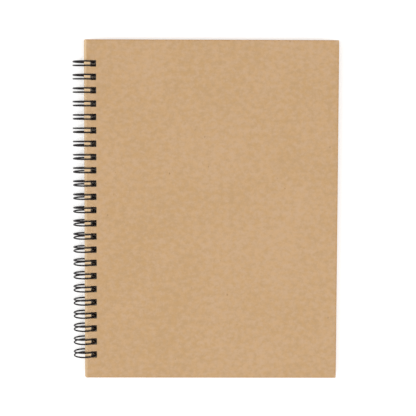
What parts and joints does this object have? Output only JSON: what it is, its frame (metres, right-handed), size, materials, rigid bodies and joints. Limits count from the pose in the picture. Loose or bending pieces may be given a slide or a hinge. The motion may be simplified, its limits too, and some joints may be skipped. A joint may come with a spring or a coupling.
{
  "type": "wirebound sketchbook",
  "caption": "Closed portrait sketchbook with plain kraft board covers, drawing paper sheets and a black twin-loop wire along the spine; covers and sheets turn about the wire.",
  "frame": {"origin": "under the middle of the closed book, level with the bottom of the wire rings", "axes": "book lying closed on its back: +Z out of the front cover, +Y towards the head of the book, +X from the spine towards the fore-edge"},
  "size_m": [0.1692, 0.2164, 0.0149],
  "materials": {
    "kraft_board": "matte",
    "drawing_paper": "matte",
    "black_wire": "satin"
  },
  "bodies": {
    "base": {"back_cover": "kraft_board", "wire_binding": "black_wire"},
    "sheet_40_body": {"sheet_40": "drawing_paper"},
    "sheet_39_body": {"sheet_39": "drawing_paper"},
    "sheet_38_body": {"sheet_38": "drawing_paper"},
    "sheet_37_body": {"sheet_37": "drawing_paper"},
    "sheet_36_body": {"sheet_36": "drawing_paper"},
    "sheet_35_body": {"sheet_35": "drawing_paper"},
    "sheet_34_body": {"sheet_34": "drawing_paper"},
    "sheet_33_body": {"sheet_33": "drawing_paper"},
    "sheet_32_body": {"sheet_32": "drawing_paper"},
    "sheet_31_body": {"sheet_31": "drawing_paper"},
    "sheet_30_body": {"sheet_30": "drawing_paper"},
    "sheet_29_body": {"sheet_29": "drawing_paper"},
    "sheet_28_body": {"sheet_28": "drawing_paper"},
    "sheet_27_body": {"sheet_27": "drawing_paper"},
    "sheet_26_body": {"sheet_26": "drawing_paper"},
    "sheet_25_body": {"sheet_25": "drawing_paper"},
    "sheet_24_body": {"sheet_24": "drawing_paper"},
    "sheet_23_body": {"sheet_23": "drawing_paper"},
    "sheet_22_body": {"sheet_22": "drawing_paper"},
    "sheet_21_body": {"sheet_21": "drawing_paper"},
    "sheet_20_body": {"sheet_20": "drawing_paper"},
    "sheet_19_body": {"sheet_19": "drawing_paper"},
    "sheet_18_body": {"sheet_18": "drawing_paper"},
    "sheet_17_body": {"sheet_17": "drawing_paper"},
    "sheet_16_body": {"sheet_16": "drawing_paper"},
    "sheet_15_body": {"sheet_15": "drawing_paper"},
    "sheet_14_body": {"sheet_14": "drawing_paper"},
    "sheet_13_body": {"sheet_13": "drawing_paper"},
    "sheet_12_body": {"sheet_12": "drawing_paper"},
    "sheet_11_body": {"sheet_11": "drawing_paper"},
    "sheet_10_body": {"sheet_10": "drawing_paper"},
    "sheet_09_body": {"sheet_09": "drawing_paper"},
    "sheet_08_body": {"sheet_08": "drawing_paper"},
    "sheet_07_body": {"sheet_07": "drawing_paper"},
    "sheet_06_body": {"sheet_06": "drawing_paper"},
    "sheet_05_body": {"sheet_05": "drawing_paper"},
    "sheet_04_body": {"sheet_04": "drawing_paper"},
    "sheet_03_body": {"sheet_03": "drawing_paper"},
    "sheet_02_body": {"sheet_02": "drawing_paper"},
    "sheet_01_body": {"sheet_01": "drawing_paper"},
    "front_cover_body": {"front_cover": "kraft_board"}
  },
  "joints": [
    {"name": "front_cover_turn", "type": "hinge", "parent": "sheet_01_body", "child": "front_cover_body", "pos_m": [-0.07717, 0, 0.00747], "axis": [0, -1, 0], "range_deg": [0, 180]},
    {"name": "sheet_01_turn", "type": "hinge", "parent": "sheet_02_body", "child": "sheet_01_body", "pos_m": [-0.07717, 0, 0.00747], "axis": [0, -1, 0], "range_deg": [0, 180]},
    {"name": "sheet_02_turn", "type": "hinge", "parent": "sheet_03_body", "child": "sheet_02_body", "pos_m": [-0.07717, 0, 0.00747], "axis": [0, -1, 0], "range_deg": [0, 180]},
    {"name": "sheet_03_turn", "type": "hinge", "parent": "sheet_04_body", "child": "sheet_03_body", "pos_m": [-0.07717, 0, 0.00747], "axis": [0, -1, 0], "range_deg": [0, 180]},
    {"name": "sheet_04_turn", "type": "hinge", "parent": "sheet_05_body", "child": "sheet_04_body", "pos_m": [-0.07717, 0, 0.00747], "axis": [0, -1, 0], "range_deg": [0, 180]},
    {"name": "sheet_05_turn", "type": "hinge", "parent": "sheet_06_body", "child": "sheet_05_body", "pos_m": [-0.07717, 0, 0.00747], "axis": [0, -1, 0], "range_deg": [0, 180]},
    {"name": "sheet_06_turn", "type": "hinge", "parent": "sheet_07_body", "child": "sheet_06_body", "pos_m": [-0.07717, 0, 0.00747], "axis": [0, -1, 0], "range_deg": [0, 180]},
    {"name": "sheet_07_turn", "type": "hinge", "parent": "sheet_08_body", "child": "sheet_07_body", "pos_m": [-0.07717, 0, 0.00747], "axis": [0, -1, 0], "range_deg": [0, 180]},
    {"name": "sheet_08_turn", "type": "hinge", "parent": "sheet_09_body", "child": "sheet_08_body", "pos_m": [-0.07717, 0, 0.00747], "axis": [0, -1, 0], "range_deg": [0, 180]},
    {"name": "sheet_09_turn", "type": "hinge", "parent": "sheet_10_body", "child": "sheet_09_body", "pos_m": [-0.07717, 0, 0.00747], "axis": [0, -1, 0], "range_deg": [0, 180]},
    {"name": "sheet_10_turn", "type": "hinge", "parent": "sheet_11_body", "child": "sheet_10_body", "pos_m": [-0.07717, 0, 0.00747], "axis": [0, -1, 0], "range_deg": [0, 180]},
    {"name": "sheet_11_turn", "type": "hinge", "parent": "sheet_12_body", "child": "sheet_11_body", "pos_m": [-0.07717, 0, 0.00747], "axis": [0, -1, 0], "range_deg": [0, 180]},
    {"name": "sheet_12_turn", "type": "hinge", "parent": "sheet_13_body", "child": "sheet_12_body", "pos_m": [-0.07717, 0, 0.00747], "axis": [0, -1, 0], "range_deg": [0, 180]},
    {"name": "sheet_13_turn", "type": "hinge", "parent": "sheet_14_body", "child": "sheet_13_body", "pos_m": [-0.07717, 0, 0.00747], "axis": [0, -1, 0], "range_deg": [0, 180]},
    {"name": "sheet_14_turn", "type": "hinge", "parent": "sheet_15_body", "child": "sheet_14_body", "pos_m": [-0.07717, 0, 0.00747], "axis": [0, -1, 0], "range_deg": [0, 180]},
    {"name": "sheet_15_turn", "type": "hinge", "parent": "sheet_16_body", "child": "sheet_15_body", "pos_m": [-0.07717, 0, 0.00747], "axis": [0, -1, 0], "range_deg": [0, 180]},
    {"name": "sheet_16_turn", "type": "hinge", "parent": "sheet_17_body", "child": "sheet_16_body", "pos_m": [-0.07717, 0, 0.00747], "axis": [0, -1, 0], "range_deg": [0, 180]},
    {"name": "sheet_17_turn", "type": "hinge", "parent": "sheet_18_body", "child": "sheet_17_body", "pos_m": [-0.07717, 0, 0.00747], "axis": [0, -1, 0], "range_deg": [0, 180]},
    {"name": "sheet_18_turn", "type": "hinge", "parent": "sheet_19_body", "child": "sheet_18_body", "pos_m": [-0.07717, 0, 0.00747], "axis": [0, -1, 0], "range_deg": [0, 180]},
    {"name": "sheet_19_turn", "type": "hinge", "parent": "sheet_20_body", "child": "sheet_19_body", "pos_m": [-0.07717, 0, 0.00747], "axis": [0, -1, 0], "range_deg": [0, 180]},
    {"name": "sheet_20_turn", "type": "hinge", "parent": "sheet_21_body", "child": "sheet_20_body", "pos_m": [-0.07717, 0, 0.00747], "axis": [0, -1, 0], "range_deg": [0, 180]},
    {"name": "sheet_21_turn", "type": "hinge", "parent": "sheet_22_body", "child": "sheet_21_body", "pos_m": [-0.07717, 0, 0.00747], "axis": [0, -1, 0], "range_deg": [0, 180]},
    {"name": "sheet_22_turn", "type": "hinge", "parent": "sheet_23_body", "child": "sheet_22_body", "pos_m": [-0.07717, 0, 0.00747], "axis": [0, -1, 0], "range_deg": [0, 180]},
    {"name": "sheet_23_turn", "type": "hinge", "parent": "sheet_24_body", "child": "sheet_23_body", "pos_m": [-0.07717, 0, 0.00747], "axis": [0, -1, 0], "range_deg": [0, 180]},
    {"name": "sheet_24_turn", "type": "hinge", "parent": "sheet_25_body", "child": "sheet_24_body", "pos_m": [-0.07717, 0, 0.00747], "axis": [0, -1, 0], "range_deg": [0, 180]},
    {"name": "sheet_25_turn", "type": "hinge", "parent": "sheet_26_body", "child": "sheet_25_body", "pos_m": [-0.07717, 0, 0.00747], "axis": [0, -1, 0], "range_deg": [0, 180]},
    {"name": "sheet_26_turn", "type": "hinge", "parent": "sheet_27_body", "child": "sheet_26_body", "pos_m": [-0.07717, 0, 0.00747], "axis": [0, -1, 0], "range_deg": [0, 180]},
    {"name": "sheet_27_turn", "type": "hinge", "parent": "sheet_28_body", "child": "sheet_27_body", "pos_m": [-0.07717, 0, 0.00747], "axis": [0, -1, 0], "range_deg": [0, 180]},
    {"name": "sheet_28_turn", "type": "hinge", "parent": "sheet_29_body", "child": "sheet_28_body", "pos_m": [-0.07717, 0, 0.00747], "axis": [0, -1, 0], "range_deg": [0, 180]},
    {"name": "sheet_29_turn", "type": "hinge", "parent": "sheet_30_body", "child": "sheet_29_body", "pos_m": [-0.07717, 0, 0.00747], "axis": [0, -1, 0], "range_deg": [0, 180]},
    {"name": "sheet_30_turn", "type": "hinge", "parent": "sheet_31_body", "child": "sheet_30_body", "pos_m": [-0.07717, 0, 0.00747], "axis": [0, -1, 0], "range_deg": [0, 180]},
    {"name": "sheet_31_turn", "type": "hinge", "parent": "sheet_32_body", "child": "sheet_31_body", "pos_m": [-0.07717, 0, 0.00747], "axis": [0, -1, 0], "range_deg": [0, 180]},
    {"name": "sheet_32_turn", "type": "hinge", "parent": "sheet_33_body", "child": "sheet_32_body", "pos_m": [-0.07717, 0, 0.00747], "axis": [0, -1, 0], "range_deg": [0, 180]},
    {"name": "sheet_33_turn", "type": "hinge", "parent": "sheet_34_body", "child": "sheet_33_body", "pos_m": [-0.07717, 0, 0.00747], "axis": [0, -1, 0], "range_deg": [0, 180]},
    {"name": "sheet_34_turn", "type": "hinge", "parent": "sheet_35_body", "child": "sheet_34_body", "pos_m": [-0.07717, 0, 0.00747], "axis": [0, -1, 0], "range_deg": [0, 180]},
    {"name": "sheet_35_turn", "type": "hinge", "parent": "sheet_36_body", "child": "sheet_35_body", "pos_m": [-0.07717, 0, 0.00747], "axis": [0, -1, 0], "range_deg": [0, 180]},
    {"name": "sheet_36_turn", "type": "hinge", "parent": "sheet_37_body", "child": "sheet_36_body", "pos_m": [-0.07717, 0, 0.00747], "axis": [0, -1, 0], "range_deg": [0, 180]},
    {"name": "sheet_37_turn", "type": "hinge", "parent": "sheet_38_body", "child": "sheet_37_body", "pos_m": [-0.07717, 0, 0.00747], "axis": [0, -1, 0], "range_deg": [0, 180]},
    {"name": "sheet_38_turn", "type": "hinge", "parent": "sheet_39_body", "child": "sheet_38_body", "pos_m": [-0.07717, 0, 0.00747], "axis": [0, -1, 0], "range_deg": [0, 180]},
    {"name": "sheet_39_turn", "type": "hinge", "parent": "sheet_40_body", "child": "sheet_39_body", "pos_m": [-0.07717, 0, 0.00747], "axis": [0, -1, 0], "range_deg": [0, 180]},
    {"name": "sheet_40_turn", "type": "hinge", "parent": "base", "child": "sheet_40_body", "pos_m": [-0.07717, 0, 0.00747], "axis": [0, -1, 0], "range_deg": [0, 180]}
  ]
}
